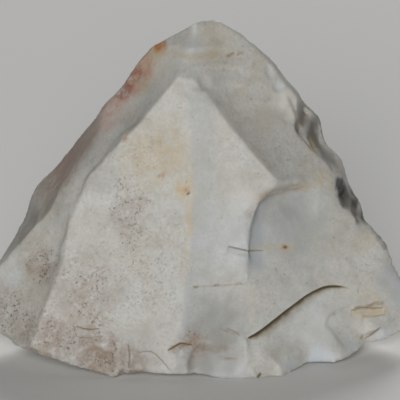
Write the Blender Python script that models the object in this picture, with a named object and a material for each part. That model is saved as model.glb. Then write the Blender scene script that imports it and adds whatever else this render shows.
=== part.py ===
"""Knapped flint core: a standing pyramid of flint, cut from a block by large flake scars.

Every face of a core is the hollow that one struck flake left, so the block is cut by
shallow ellipsoidal scoops. Each scoop passes through three corners of the finished stone
and has one radius of curvature down the flake and one across it. The ridges are where two
scoops meet. Lengths are in millimetres here and become metres in the mesh.
"""
import math

import bmesh
import bpy
from mathutils import Matrix, Vector

MM = 0.001

# the block before knapping: how far it runs from the middle each way, and its height
BLOCK_LEFT = 37.0
BLOCK_RIGHT = 38.0
BLOCK_FRONT = 30.0
BLOCK_BACK = 22.0
BLOCK_HEIGHT = 58.0

# a point deep in the stone, which every scoop faces away from
HEART = Vector((0.0, -2.0, 19.0))

# a scoop's facets stay this close to its true curve, and are fine only where it meets the stone
FACET_ERROR = 0.012
LONGEST_FACET = 6.0
FINE_REACH = 40.0
COARSE_ANGLE = math.radians(30.0)
LEAST_ARC = 0.01

# a face that points this nearly straight up or down counts as level
LEVEL_SHARE = 0.97

# how far a rim bite is turned over, so that its fine side faces back and up into the stone
BITE_TURN = math.radians(110.0)

FLINT_COLOUR = (0.42, 0.39, 0.34, 1.0)
FLINT_ROUGHNESS = 0.55

# corners of the finished core: x to the right, y to the back, z up from the platform
CORNERS = {
    # the two broad front faces and the low spine between them
    "spine_top": (-1.0, -8.5, 38.0),
    "spine_foot": (-2.5, -16.5, 7.5),
    "left_crest": (-20.5, -9.0, 27.5),
    "right_crest": (10.0, -8.5, 35.0),
    # the upper left and upper right faces, which meet above the front faces
    "left_crest_high": (-5.0, -6.0, 47.0),
    "left_crest_mid": (-14.5, -7.5, 36.5),
    "left_outline_high": (-13.0, 2.0, 44.0),
    "right_crest_high": (1.0, -6.5, 46.5),
    "right_crest_low": (13.0, -9.0, 31.5),
    "upper_right_edge": (17.0, 0.5, 38.0),
    # the long blade scar down the left and the flank behind it
    "blade_top": (-17.0, -8.0, 33.5),
    "blade_foot": (-25.5, -13.0, 11.5),
    "blade_edge_top": (-17.5, -1.5, 37.5),
    "blade_edge": (-29.0, -5.0, 21.0),
    "left_outline_mid": (-25.5, 5.0, 28.0),
    "left_outline_low": (-33.5, -2.5, 16.0),
    # the lower right face and the curved step where its flake stopped
    "step_top": (13.0, -9.5, 30.5),
    "step_side": (8.0, -11.5, 24.0),
    "step_crown": (16.0, -6.0, 30.0),
    "step_right": (31.5, -2.0, 17.0),
    "right_face_foot": (8.0, -15.0, 9.5),
    # the sharp edge down the right and the narrow flank beyond it
    "right_edge_high": (10.5, 2.5, 48.0),
    "right_edge_mid": (15.5, 2.0, 42.0),
    "right_edge_low": (21.0, -0.5, 33.0),
    "right_edge_foot": (31.5, -3.5, 17.5),
    "right_outline_high": (20.5, 7.0, 37.5),
    "right_outline_foot": (31.0, 1.0, 17.5),
    "right_corner_high": (34.0, -3.5, 14.5),
    "right_corner": (36.0, -4.5, 5.5),
    # the peak
    "peak_left": (-8.5, 3.0, 51.0),
    "peak": (0.5, -1.0, 57.5),
    "peak_right": (3.5, 2.0, 56.5),
    "peak_back_left": (-4.5, 10.0, 50.0),
    "peak_back": (1.5, 12.0, 52.0),
    # the back, plainer than the front
    "back_high_left": (-6.0, 13.0, 33.0),
    "back_high": (-1.0, 13.2, 31.0),
    "back_high_right": (8.0, 13.0, 31.0),
    "back_mid_right": (13.0, 19.0, 15.0),
    "back_foot_left": (-12.5, 18.0, 3.0),
    "back_foot": (-1.0, 19.0, 3.0),
    "back_foot_right": (13.0, 18.0, 3.0),
    # under the rim, where the platform was trimmed
    "rim_left_front": (-13.5, -17.5, 0.0),
    "rim_left_end": (-33.0, -10.5, 4.5),
    "platform_left": (-16.0, 10.0, 0.1),
    "rim_right_front": (18.0, -13.0, -1.0),
    "rim_right_end": (33.5, -5.5, 3.5),
    "platform_right": (14.0, 10.0, 0.1),
    # small late flakes at the rim and along the right edge
    "rim_flake_left": (9.5, -14.5, 8.0),
    "rim_flake_top": (21.5, -7.5, 12.5),
    "rim_flake_right": (33.0, -5.0, 6.0),
    "centre_low_left": (-2.0, -15.0, 13.0),
    "centre_low_top": (7.5, -13.5, 15.0),
    "centre_low_foot": (2.5, -17.0, 1.5),
    "high_chip_top": (15.5, 1.5, 41.5),
    "high_chip_foot": (20.0, -1.5, 33.5),
    "high_chip_out": (20.0, 4.5, 36.5),
    "low_chip_top": (23.0, -5.0, 31.0),
    "low_chip_foot": (26.0, -4.5, 24.5),
    "low_chip_out": (26.0, 3.0, 25.5),
}

# each scoop, in cutting order: its three corners, the radius down the flake, the radius
# across it, its lean in degrees and how far it reaches outward. A short reach gives the
# scoop a steep edge, as where a flake broke off early.
SCOOPS = {
    "front_left": ("spine_top", "spine_foot", "left_crest", 500, 200, 0, 50),
    "front_right": ("spine_top", "spine_foot", "right_crest", 500, 200, 0, 50),
    "upper_right": ("right_crest_high", "right_crest_low", "upper_right_edge", 150, 35, -30, 40),
    "upper_left": ("left_crest_high", "left_crest_mid", "left_outline_high", 90, 35, 30, 40),
    "left_blade": ("blade_top", "blade_foot", "blade_edge", 400, 30, 14, 40),
    "left_flank": ("blade_edge_top", "blade_edge", "left_outline_mid", 300, 80, 0, 60),
    "lower_right": ("step_top", "right_face_foot", "right_edge_foot", 200, 110, 0, 40),
    "step": ("step_side", "step_crown", "step_right", 50, 90, 0, 5),
    "right_flank_high": ("right_edge_high", "right_edge_mid", "right_outline_high", 300, 100, 0, 40),
    "right_flank_low": ("right_edge_low", "right_edge_foot", "right_outline_high", 300, 100, 0, 40),
    "peak_left": ("peak_left", "peak", "peak_back_left", 200, 200, 0, 40),
    "peak_back": ("peak", "peak_right", "peak_back", 200, 200, 0, 40),
    "back_left_high": ("peak_left", "left_outline_mid", "back_high_left", 400, 100, 0, 60),
    "back_left_low": ("left_outline_mid", "left_outline_low", "back_foot_left", 400, 100, 0, 60),
    "back_left_blade": ("back_foot_left", "back_foot", "back_high", 300, 90, 0, 40),
    "back_right_blade": ("back_foot", "back_foot_right", "back_high_right", 300, 90, 0, 40),
    "back_right_high": ("peak_right", "right_outline_high", "back_high_right", 300, 250, 0, 40),
    "back_right_mid": ("right_outline_high", "right_outline_foot", "back_mid_right", 60, 300, 0, 40),
    "back_right_low": ("right_corner_high", "right_corner", "back_foot_right", 600, 500, 0, 40),
    "under_left": ("rim_left_front", "rim_left_end", "platform_left", 300, 120, 0, 40),
    "under_right": ("rim_right_front", "rim_right_end", "platform_right", 300, 120, 0, 40),
    "rim_flake": ("rim_flake_left", "rim_flake_top", "rim_flake_right", 130, 96, 0, 6),
    "centre_low": ("centre_low_left", "centre_low_top", "centre_low_foot", 90, 40, 0, 5),
    "high_chip": ("high_chip_top", "high_chip_foot", "high_chip_out", 40, 15, 0, 3),
    "low_chip": ("low_chip_top", "low_chip_foot", "low_chip_out", 25, 15, 0, 3),
}

# round bites out of the platform's rim: centre and radius
RIM_BITES = {
    "rim_bite_left": ((-9.5, -17.5, -7.0), 8.4),
    "rim_bite_middle": ((-2.0, -19.0, -16.0), 17.0),
    "rim_bite_right": ((29.5, -6.0, -2.5), 3.3),
}


def clear_scene():
    for item in list(bpy.data.objects):
        bpy.data.objects.remove(item, do_unlink=True)


def flint_material():
    material = bpy.data.materials.new("flint")
    material.use_nodes = True
    shader = material.node_tree.nodes["Principled BSDF"]
    shader.inputs["Base Color"].default_value = FLINT_COLOUR
    shader.inputs["Roughness"].default_value = FLINT_ROUGHNESS
    shader.inputs["Metallic"].default_value = 0.0
    return material


def new_object(name, mesh_data):
    mesh = bpy.data.meshes.new(name)
    mesh_data.to_mesh(mesh)
    mesh_data.free()
    item = bpy.data.objects.new(name, mesh)
    bpy.context.scene.collection.objects.link(item)
    return item


def block():
    """The closed box that everything is cut from, standing on z = 0."""
    size = Vector((BLOCK_LEFT + BLOCK_RIGHT, BLOCK_FRONT + BLOCK_BACK, BLOCK_HEIGHT))
    middle = Vector(((BLOCK_RIGHT - BLOCK_LEFT) / 2, (BLOCK_BACK - BLOCK_FRONT) / 2, BLOCK_HEIGHT / 2))
    shape = bmesh.new()
    place = Matrix.Translation(middle * MM) @ Matrix.Diagonal((size * MM).to_4d())
    bmesh.ops.create_cube(shape, size=1.0, matrix=place)
    return new_object("flint_core", shape)


def graded_angles(radius, bend, limit):
    """Angles from 0 to the limit: small steps while the arc still meets the stone, then large."""
    # a chord leaves an arc by its own length squared over eight times the arc's radius
    step = min(math.sqrt(8 * bend * FACET_ERROR), LONGEST_FACET) / radius
    step = min(step, COARSE_ANGLE / 2)
    fine_end = math.asin(min(FINE_REACH / radius, 1.0))
    fine_count = max(math.ceil(fine_end / step), 1)
    angles = [fine_end * i / fine_count for i in range(fine_count + 1)]
    coarse_count = max(math.ceil((limit - fine_end) / COARSE_ANGLE), 1)
    if limit - fine_end > LEAST_ARC:
        angles += [fine_end + (limit - fine_end) * i / coarse_count for i in range(1, coarse_count + 1)]
    return angles


def scoop_mesh(down, across, out):
    """A closed ellipsoid with semi-axes down (local Y), across (local X) and out (local Z).

    Its ribs run round the long axis, and they are close together only near -Z, the side
    that cuts.
    """
    shape = bmesh.new()
    lengthwise = graded_angles(down, down * down / out, math.pi / 2)
    tilts = [-t for t in reversed(lengthwise[1:-1])] + lengthwise[:-1]
    half = graded_angles(across, across * across / out, math.pi)
    turns = [-t for t in reversed(half[1:])] + half[:-1]
    ribs = []
    for tilt in tilts:
        ring = math.cos(tilt)
        ribs.append([
            shape.verts.new(Vector((
                across * ring * math.sin(turn),
                down * math.sin(tilt),
                -out * ring * math.cos(turn))) * MM)
            for turn in turns])
    for lower, upper in zip(ribs, ribs[1:]):
        for i in range(len(turns)):
            shape.faces.new((lower[i - 1], lower[i], upper[i], upper[i - 1]))
    for rib, end in ((ribs[0], -down), (ribs[-1], down)):
        tip = shape.verts.new(Vector((0, end, 0)) * MM)
        for i in range(len(turns)):
            shape.faces.new((rib[i - 1], rib[i], tip))
    bmesh.ops.recalc_face_normals(shape, faces=shape.faces)
    return shape


def scoop(name, corners, along, across, lean, reach):
    """A scoop whose inner surface passes through the three corners."""
    points = [Vector(CORNERS[corner]) for corner in corners]
    outward = (points[1] - points[0]).cross(points[2] - points[0]).normalized()
    if outward.dot(sum(points, Vector()) / 3 - HEART) < 0:
        outward.negate()
    # an almost level face, such as the platform, has no uphill, so its flake runs back
    uphill = Vector((0, 1, 0)) if abs(outward.z) > LEVEL_SHARE else Vector((0, 0, 1))
    uphill = (uphill - outward * uphill.dot(outward)).normalized()
    sideways = uphill.cross(outward)
    turn = math.radians(lean)
    down_axis = uphill * math.cos(turn) + sideways * math.sin(turn)
    across_axis = down_axis.cross(outward)
    down_half = math.sqrt(along * reach)
    across_half = math.sqrt(across * reach)

    # in a space where the scoop is a unit ball, its centre is above the middle of the circle
    # through the three corners
    to_ball = Matrix((across_axis / across_half, down_axis / down_half, outward / reach))
    ball = [to_ball @ point for point in points]
    first = ball[1] - ball[0]
    second = ball[2] - ball[0]
    normal = first.cross(second)
    middle = ball[0] + (
        normal.cross(first) * second.length_squared
        + second.cross(normal) * first.length_squared) / (2 * normal.length_squared)
    rise = math.sqrt(1.0 - (ball[0] - middle).length_squared)
    normal.normalize()
    if (to_ball @ outward).dot(normal) < 0:
        normal.negate()
    centre = to_ball.inverted() @ (middle + normal * rise)

    item = new_object(name, scoop_mesh(down_half, across_half, reach))
    turned = Matrix((across_axis, down_axis, outward)).transposed().to_4x4()
    item.matrix_world = Matrix.Translation(centre * MM) @ turned
    return item


def rim_bite(name, centre, radius):
    item = new_object(name, scoop_mesh(radius, radius, radius))
    item.matrix_world = Matrix.Translation(Vector(centre) * MM) @ Matrix.Rotation(BITE_TURN, 4, "X")
    return item


def cut(stone, cutter):
    cutter.hide_render = True
    cutter.display_type = "WIRE"
    modifier = stone.modifiers.new(cutter.name, "BOOLEAN")
    modifier.operation = "DIFFERENCE"
    modifier.solver = "EXACT"
    modifier.object = cutter


def evaluated_box(item):
    bpy.context.view_layer.update()
    finished = item.evaluated_get(bpy.context.evaluated_depsgraph_get())
    places = [finished.matrix_world @ vertex.co for vertex in finished.data.vertices]
    low = Vector([min(place[i] for place in places) for i in range(3)])
    high = Vector([max(place[i] for place in places) for i in range(3)])
    return low, high


def build():
    clear_scene()
    core = block()
    core.data.materials.append(flint_material())
    cutters = []
    for name, (first, second, third, *shape) in SCOOPS.items():
        cutters.append(scoop(name, (first, second, third), *shape))
    for name, (centre, radius) in RIM_BITES.items():
        cutters.append(rim_bite(name, centre, radius))
    for cutter in cutters:
        cut(core, cutter)

    # the origin ends up under the middle of the finished core, on the surface it stands on
    low, high = evaluated_box(core)
    stand = bpy.data.objects.new("stand", None)
    bpy.context.scene.collection.objects.link(stand)
    for item in [core, *cutters]:
        item.parent = stand
    stand.location = (-(low.x + high.x) / 2, -(low.y + high.y) / 2, -low.z)
    bpy.context.view_layer.update()


build()
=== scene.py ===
import math
import random

import bmesh
import bpy
import numpy as np
from mathutils import Matrix, Vector, kdtree, noise
from mathutils.bvhtree import BVHTree


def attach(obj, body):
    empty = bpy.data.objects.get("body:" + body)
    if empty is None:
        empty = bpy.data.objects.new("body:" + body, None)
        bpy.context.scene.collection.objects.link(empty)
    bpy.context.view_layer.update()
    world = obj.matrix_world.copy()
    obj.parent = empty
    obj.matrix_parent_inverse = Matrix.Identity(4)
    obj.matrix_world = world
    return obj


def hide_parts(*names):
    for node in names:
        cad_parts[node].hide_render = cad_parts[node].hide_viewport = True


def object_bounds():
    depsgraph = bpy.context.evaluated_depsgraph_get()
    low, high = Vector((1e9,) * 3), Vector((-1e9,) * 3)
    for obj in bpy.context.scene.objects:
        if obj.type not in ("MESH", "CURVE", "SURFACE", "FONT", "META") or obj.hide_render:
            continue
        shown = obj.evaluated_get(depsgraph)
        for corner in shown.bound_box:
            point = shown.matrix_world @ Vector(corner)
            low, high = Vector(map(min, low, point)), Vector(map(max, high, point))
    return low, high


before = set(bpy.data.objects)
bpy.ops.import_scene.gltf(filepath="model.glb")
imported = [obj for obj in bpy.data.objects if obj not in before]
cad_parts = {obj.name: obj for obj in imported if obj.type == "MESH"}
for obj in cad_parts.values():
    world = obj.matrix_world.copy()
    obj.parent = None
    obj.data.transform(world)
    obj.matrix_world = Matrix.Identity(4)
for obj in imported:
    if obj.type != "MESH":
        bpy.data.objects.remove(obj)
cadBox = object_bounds()
mm = 0.001

# How the stone is turned from the plain solid into worked flint. Lengths are in mm,
# places are (x, y, z) in the row frame, and a line's places are (x, z) seen from the front.
core = {
    "baseSize": 0.55,          # the even mesh that the scars are smoothed on
    "faceSize": 0.44,          # the finer one that everything is carved into
    "ridgeAngle": 13.0,        # a bend sharper than this many degrees is a ridge
    "ridgeWidth": 0.9,         # how far from a ridge the stone is smoothed less
    "faceRounds": 26,
    "ridgeRounds": 4,
    "spikeAngle": 100.0,       # sharper folds than this are eased, with their neighbours
    "spikeRounds": 6,
    "tip": (3.4, 1.5, 56.2),
    "tipReach": 2.8,           # the tip is smoothed this far around, as it comes out ragged
    "tipRounds": 10,
    "lineRounds": 2,           # how often the mesh is halved beside a crack or step
    "lineReach": 1.1,
    "evenRounds": 12,
    "waver": 0.22,             # how far a ridge strays from its even curve
    "waverSize": 4.5,
    "swell": 0.06,             # slow rise and fall of a flake scar
    "swellSize": 9.0,
    "tooth": 0.012,            # the fine unevenness that shows in raking light
    "toothSize": 1.3,
}

# Where a ridge or the outline stands a little away from the solid's: the place, how far
# the stone around it follows, and the move.
pulls = {
    "ridgeTip": ((12.3, -9.0, 32.0), 5.0, (1.4, 0.2, -1.1)),
    "leftRidge": ((-19.5, -10.0, 27.0), 9.0, (-1.9, 0.0, 0.0)),
    "leftRidgeOuter": ((-25.0, -5.5, 25.0), 6.0, (0.8, 0.0, 0.0)),
    "leftShoulder": ((-27.0, 1.0, 26.8), 6.0, (-1.4, 0.0, 0.2)),
    "rightCrest": ((10.5, 1.6, 48.0), 12.0, (1.2, 0.0, 0.8)),
    "rightFlankLow": ((28.4, -1.0, 20.4), 5.0, (-1.5, 0.0, -0.4)),
    "tipRight": ((0.3, -6.3, 48.4), 2.8, (0.2, 0.3, -1.3)),
    "rimFront": ((12.5, -15.0, 0.5), 6.5, (0.7, -1.9, 0.0)),
    "rimLeft": ((-18.0, -16.5, 1.0), 5.0, (0.0, -1.6, -0.2)),
    "rimRight": ((23.5, -9.5, 0.8), 6.0, (0.8, -2.4, 0.0)),
    "rimEnd": ((30.5, -6.5, 3.5), 4.5, (0.2, -0.8, -0.35)),
    "rightOutlineHigh": ((16.5, 2.5, 43.0), 4.0, (0.9, 0.0, 0.3)),
    "rightOutlineMid": ((22.0, 4.0, 34.5), 5.0, (-1.1, 0.0, -0.3)),
    "leftOutlineHigh": ((-14.3, 2.5, 44.5), 4.0, (0.8, 0.0, 0.0)),
}

# Small flakes that came off edges: the place, the way the scar faces, its width, height
# and depth.
chips = {
    "edgeChipHigh": ((11.6, 1.2, 47.0), (0.5, -0.72, 0.42), 1.6, 3.4, 0.3),
    "edgeChipNext": ((13.4, 0.8, 44.6), (0.45, -0.78, 0.42), 2.6, 1.7, 0.35),
    "edgeBiteHigh": ((17.6, -0.2, 38.4), (0.8, -0.45, 0.35), 5.0, 3.2, 0.3),
    "edgeBiteLow": ((24.8, -1.4, 27.4), (0.85, -0.42, 0.32), 6.6, 6.8, 0.75),
    "edgeBiteNext": ((26.2, -0.8, 25.0), (0.88, -0.32, 0.33), 4.4, 5.2, 0.4),
    "crestNickHigh": ((-11.9, -7.8, 38.6), (-0.6, -0.6, 0.4), 1.2, 1.6, 0.25),
    "crestNickLow": ((-14.3, -8.1, 36.4), (-0.6, -0.6, 0.4), 1.0, 1.3, 0.2),
    "rimHollowLeft": ((-17.6, -16.4, 4.0), (0.0, -0.98, 0.2), 8.8, 9.0, 0.45),
    "rimHollowMiddle": ((-8.0, -18.6, 0.8), (0.0, -0.9, -0.1), 4.6, 4.0, 0.35),
    "rimHollowNext": ((-3.2, -18.3, 1.8), (0.15, -0.95, 0.15), 3.2, 5.5, 0.25),
    "rimScarMiddle": ((2.4, -17.9, 2.0), (0.05, -0.95, 0.3), 6.5, 7.5, 0.3),
    "rimScarRight": ((10.9, -15.9, 1.8), (0.3, -0.93, 0.2), 5.4, 6.4, 0.4),
    "cornerLeft": ((-28.5, -15.0, 4.0), (-0.4, -0.75, -0.5), 9.0, 5.0, 0.6),
    "cornerLeftEnd": ((-33.5, -10.5, 5.5), (-0.6, -0.6, -0.5), 6.0, 5.0, 0.5),
    # the far sides: long plain scars struck off the rim or in from a sharp edge
    "backMiddle": ((1.0, 18.5, 1.0), (0.0, 0.97, 0.2), 17.0, 38.0, 1.3),
    "backLeft": ((-12.5, 16.5, 2.0), (-0.3, 0.93, 0.2), 13.0, 48.0, 1.2),
    "backRight": ((14.0, 15.5, 1.0), (0.3, 0.93, 0.2), 13.0, 30.0, 1.1),
    "backHighRight": ((6.5, 10.0, 36.0), (0.2, 0.93, 0.3), 9.5, 30.0, 0.8),
    "backHighLeft": ((-9.5, 9.5, 32.0), (-0.25, 0.9, 0.3), 9.0, 30.0, 0.8),
    "backTop": ((1.0, 6.5, 46.0), (0.0, 0.93, 0.35), 7.0, 15.0, 0.5),
    "underFront": ((-6.0, -16.0, 0.5), (0.0, -0.1, -1.0), 15.0, 14.0, 0.7),
    "underRight": ((18.0, -8.0, 0.5), (0.1, 0.0, -1.0), 18.0, 12.0, 0.7),
}

# The last chip to come off bared the dark stone inside, darkest around this place.
bareChip = "edgeBiteLow"
bareMiddle = (24.0, -2.4, 29.2)

# Rows of tiny flakes: along the rim from trimming the platform's edge, and along every
# other sharp edge from knocks in the ground. Widths, heights and depths are ranges.
trimming = {
    "seed": 7,
    "rim": {"count": 26, "width": (1.6, 4.2), "height": (1.4, 3.4), "depth": (0.15, 0.4)},
    "edges": {"count": 40, "width": (1.4, 3.4), "height": (1.2, 3.0), "depth": (0.1, 0.24)},
}

# Where a ridge of the solid is too strong: the place seen from the front, how far, how much.
worn = {
    "peakSpine": ((-1.0, 54.5), 6.5, 400),
    "spineHigh": ((-0.9, 42.0), 4.5, 60),
    "spineMiddle": ((-1.0, 33.0), 3.5, 12),
    "leftKink": ((-18.6, 33.6), 7.5, 260),
    "stepEndHigh": ((21.5, 26.0), 6.5, 260),
    "ridgeSpur": ((2.2, 45.2), 1.6, 12),
    "spineTop": ((-0.8, 51.6), 2.8, 200),
    "biteEnd": ((28.2, 20.9), 2.4, 80),
    "wallFoot": ((8.6, 6.0), 2.6, 40),
    "stepFoot": ((13.0, 14.6), 5.5, 90),
    "stepFootRight": ((22.0, 14.6), 5.5, 90),
    "stepFootEnd": ((30.5, 14.5), 5.0, 90),
    "wallMiddle": ((8.4, 17.0), 3.0, 20),
    "wallLow": ((8.4, 11.5), 5.0, 220),
    "rimFlakeSide": ((10.5, 9.5), 3.0, 60),
    "spineLow": ((-2.0, 11.0), 3.0, 30),
}

# Cracks and broken-off steps. Walking along the path, the stone on the left stands and the
# stone on the right drops by depth: steep over wall, then back up over reach. soil is how
# wide the brown earth lies in it, darkest along the edge as painted shade of the gap, and
# fullest where along the path it is widest.
lines = {
    "longCrack": {
        "path": [(8.0, 6.4), (11.2, 7.9), (14.5, 9.8), (17.0, 11.3), (19.2, 12.3),
                 (21.2, 12.8), (23.8, 12.6), (26.5, 11.4)],
        "depth": 1.0, "wall": 0.2, "reach": 2.0, "soil": 2.3, "strength": 1.0, "fullest": 0.36,
        "pointed": 2.0},
    "ledge": {
        "path": [(5.0, 21.6), (7.2, 21.1), (9.0, 20.7), (11.6, 20.1)],
        "depth": 0.4, "wall": 0.15, "reach": 1.2, "soil": 0.5, "strength": 0.6, "fullest": 0.35},
    "faintStep": {
        "path": [(-0.8, 15.4), (3.7, 15.3), (8.6, 15.6)],
        "depth": 0.22, "wall": 0.2, "reach": 1.6, "soil": 0.14, "strength": 0.15},
    "leftStep": {
        "path": [(-20.2, 8.4), (-18.3, 7.9), (-16.2, 8.1)],
        "depth": 0.4, "wall": 0.12, "reach": 1.6, "soil": 0.2, "strength": 0.6},
    "leftStepLow": {
        "path": [(-20.8, 6.9), (-18.0, 6.6), (-15.4, 7.0)],
        "depth": 0.25, "wall": 0.3, "reach": 1.4, "soil": 0.4, "strength": 0.2},
    "rimStepLeft": {
        "path": [(-9.8, 4.4), (-8.2, 4.8), (-7.2, 4.6), (-6.0, 3.6), (-4.4, 1.8)],
        "depth": 0.3, "wall": 0.12, "reach": 0.9, "soil": 0.14, "strength": 0.5},
    "rimStepMiddle": {
        "path": [(-5.0, 5.0), (-3.6, 5.9), (-2.8, 6.4), (-2.0, 6.2), (-0.8, 5.9)],
        "depth": 0.5, "wall": 0.12, "reach": 1.0, "soil": 0.5, "strength": 0.75},
    "rimGroove": {
        "path": [(-11.5, 2.0), (-11.2, 3.8), (-11.6, 5.8)],
        "depth": 0.4, "wall": 0.15, "reach": 0.9, "soil": 0.25, "strength": 0.25},
    "rightStep": {
        "path": [(25.6, 8.0), (27.2, 8.5), (29.2, 8.2), (31.2, 8.0)],
        "depth": 0.4, "wall": 0.15, "reach": 1.2, "soil": 0.6, "strength": 0.55},
    "rightStepLow": {
        "path": [(27.6, 7.0), (29.4, 6.8), (31.6, 6.9)],
        "depth": 0.25, "wall": 0.15, "reach": 0.9, "soil": 0.4, "strength": 0.4},
    "rightStepRim": {
        "path": [(28.0, 3.3), (29.4, 4.2), (30.6, 5.0)],
        "depth": 0.4, "wall": 0.15, "reach": 1.0, "soil": 0.5, "strength": 0.5},
    "leftHair": {
        "path": [(-17.7, 16.5), (-16.2, 17.6), (-14.9, 18.2)],
        "depth": 0.08, "wall": 0.1, "reach": 0.4, "soil": 0.14, "strength": 0.25},
    "rimHair": {
        "path": [(4.8, 8.2), (6.2, 7.7), (7.1, 6.8)],
        "depth": 0.15, "wall": 0.1, "reach": 0.5, "soil": 0.14, "strength": 0.35},
}

# The same on the hidden back, read through the stone from the front.
backLines = {
    "backCrack": {
        "path": [(3.0, 15.0), (7.0, 16.8), (12.0, 16.4)],
        "depth": 0.5, "wall": 0.15, "reach": 1.6, "soil": 0.5, "strength": 0.7},
    "backHinge": {
        "path": [(-13.0, 19.0), (-10.5, 24.5), (-5.0, 28.0), (2.0, 27.0), (6.0, 23.0)],
        "depth": 1.0, "wall": 0.6, "reach": 5.0, "soil": 0.0, "strength": 0.0},
    "backRimStep": {
        "path": [(-15.0, 4.6), (-9.0, 6.8), (-2.0, 6.0), (4.0, 7.4), (10.0, 6.2)],
        "depth": 0.7, "wall": 0.3, "reach": 3.0, "soil": 0.2, "strength": 0.4},
    "backSideStep": {
        "path": [(15.0, 9.0), (19.0, 14.5), (23.5, 16.5)],
        "depth": 0.6, "wall": 0.3, "reach": 3.5, "soil": 0.15, "strength": 0.3},
}

# Softer steps of the same kind: the waves of a scar, and the walls beside its ridges.
waves = {
    "arc": {"path": [(7.9, 15.3), (8.3, 18.5), (8.3, 22.5), (8.9, 26.0), (9.9, 28.2), (11.4, 30.0),
                     (13.4, 30.6), (17.5, 30.0), (20.5, 29.6)], "depth": 2.6, "wall": 2.0, "reach": 4.4},
    "peakWave": {"path": [(-6.2, 51.7), (-3.5, 52.5), (0.4, 52.9), (4.0, 52.0), (7.0, 51.2)],
                 "depth": 0.45, "wall": 0.5, "reach": 2.2},
    "peakWaveNext": {"path": [(0.6, 50.4), (3.0, 49.7), (7.0, 48.8), (11.0, 47.6)],
                     "depth": 0.4, "wall": 0.6, "reach": 2.4},
    "peakWaveThird": {"path": [(1.8, 47.8), (6.2, 46.4), (12.0, 45.2)],
                      "depth": 0.35, "wall": 0.7, "reach": 2.4},
    "peakWaveLast": {"path": [(4.0, 45.0), (8.7, 43.4), (14.5, 42.0)],
                     "depth": 0.25, "wall": 0.8, "reach": 2.4},
    "leftWall": {"path": [(-7.0, 44.6), (-12.0, 38.8), (-17.2, 33.2), (-20.2, 27.6), (-22.0, 22.5),
                          (-23.4, 17.5), (-25.2, 11.0)], "depth": 0.9, "wall": 0.6, "reach": 2.4},
    "flankStepOuter": {"path": [(-17.8, 39.6), (-21.2, 34.6), (-25.4, 28.6), (-30.2, 21.4)],
                       "depth": 0.2, "wall": 0.3, "reach": 1.2},
    "flankStep": {"path": [(-15.6, 39.4), (-18.7, 35.0), (-22.5, 29.3), (-26.7, 23.3), (-32.0, 15.6)],
                  "depth": 0.25, "wall": 0.3, "reach": 1.4},
    "edgeLine": {"path": [(23.9, 29.2), (22.2, 31.2), (20.2, 33.2), (18.5, 35.1), (17.2, 37.0),
                          (16.5, 38.2), (16.8, 39.4), (15.8, 41.4), (14.6, 43.4)],
                 "depth": 0.7, "wall": 0.25, "reach": 2.2},
    "rimArris": {"path": [(7.4, 0.0), (8.2, 1.8), (8.6, 3.4), (8.3, 5.2), (7.4, 7.0)],
                 "depth": 0.5, "wall": 0.4, "reach": 2.2},
    "rimCrest": {"path": [(-1.1, 0.6), (-1.2, 2.6), (-1.6, 4.8)], "depth": 0.4, "wall": 0.4, "reach": 1.5},
    "lowFan": {"path": [(24.6, 2.0), (23.4, 4.2), (21.0, 6.2), (22.4, 8.4), (26.0, 9.0)],
               "depth": 0.6, "wall": 0.4, "reach": 2.4},
}

# Soft hollows, and swells where the depth is below zero: the place seen from the front,
# half the width, half the height, the lean in degrees and the depth.
hollows = {
    "besideRidge": ((4.6, 45.4), 3.0, 1.9, -30.0, 0.3),
    "peakFlake": ((0.4, 53.8), 5.0, 1.6, 0.0, 0.3),
    "besideArris": ((5.2, 5.0), 2.2, 2.6, 0.0, 0.4),
    "rimValley": ((13.4, 3.0), 1.5, 3.0, -15.0, 0.45),
    "rimBump": ((-13.0, 3.0), 1.3, 3.2, 0.0, -0.4),
    "rimBulge": ((-6.2, 2.2), 1.6, 1.6, 0.0, -0.3),
    "triangle": ((18.0, 4.0), 4.5, 2.6, -20.0, -0.3),
    "lowFlake": ((25.6, 5.2), 3.0, 2.4, 0.0, 0.55),
    "lowFlakeEnd": ((30.0, 3.4), 2.2, 1.2, 20.0, 0.35),
    "edgeLip": ((17.6, 38.0), 0.9, 1.3, 0.0, 0.5),
    "ledgeShelf": ((7.4, 19.6), 1.6, 0.8, 0.0, -0.25),
}

# Rings that the blow left across a scar: where it was struck, the way the scar faces, how
# far apart the rings are and how high, and between which distances from the blow they show.
ripples = {
    "peak": ((4.0, -6.0, 5.0), (0.4, -0.9, 0.3), 1.6, 0.02, 32.0, 56.0),
    "front": ((-6.0, -20.0, -4.0), (0.0, -1.0, 0.0), 3.4, 0.02, 12.0, 40.0),
    "right": ((16.0, -16.0, -3.0), (0.3, -0.95, 0.0), 2.8, 0.025, 10.0, 32.0),
    "bite": ((23.6, -2.4, 32.4), (0.85, -0.42, 0.32), 1.1, 0.035, -4.0, 8.0),
    "back": ((0.0, 22.0, -4.0), (0.0, 1.0, 0.0), 3.4, 0.03, 10.0, 44.0),
    "backHigh": ((6.0, 4.0, 62.0), (0.0, 1.0, 0.2), 2.8, 0.03, 8.0, 26.0),
    "rightSide": ((34.0, 2.0, 0.0), (1.0, 0.2, 0.2), 3.1, 0.03, 6.0, 34.0),
    "leftSide": ((-34.0, 2.0, 0.0), (-1.0, 0.3, 0.2), 3.1, 0.03, 6.0, 34.0),
    "underside": ((0.0, -20.0, 0.0), (0.0, 0.0, -1.0), 3.4, 0.04, 8.0, 40.0),
}
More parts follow.
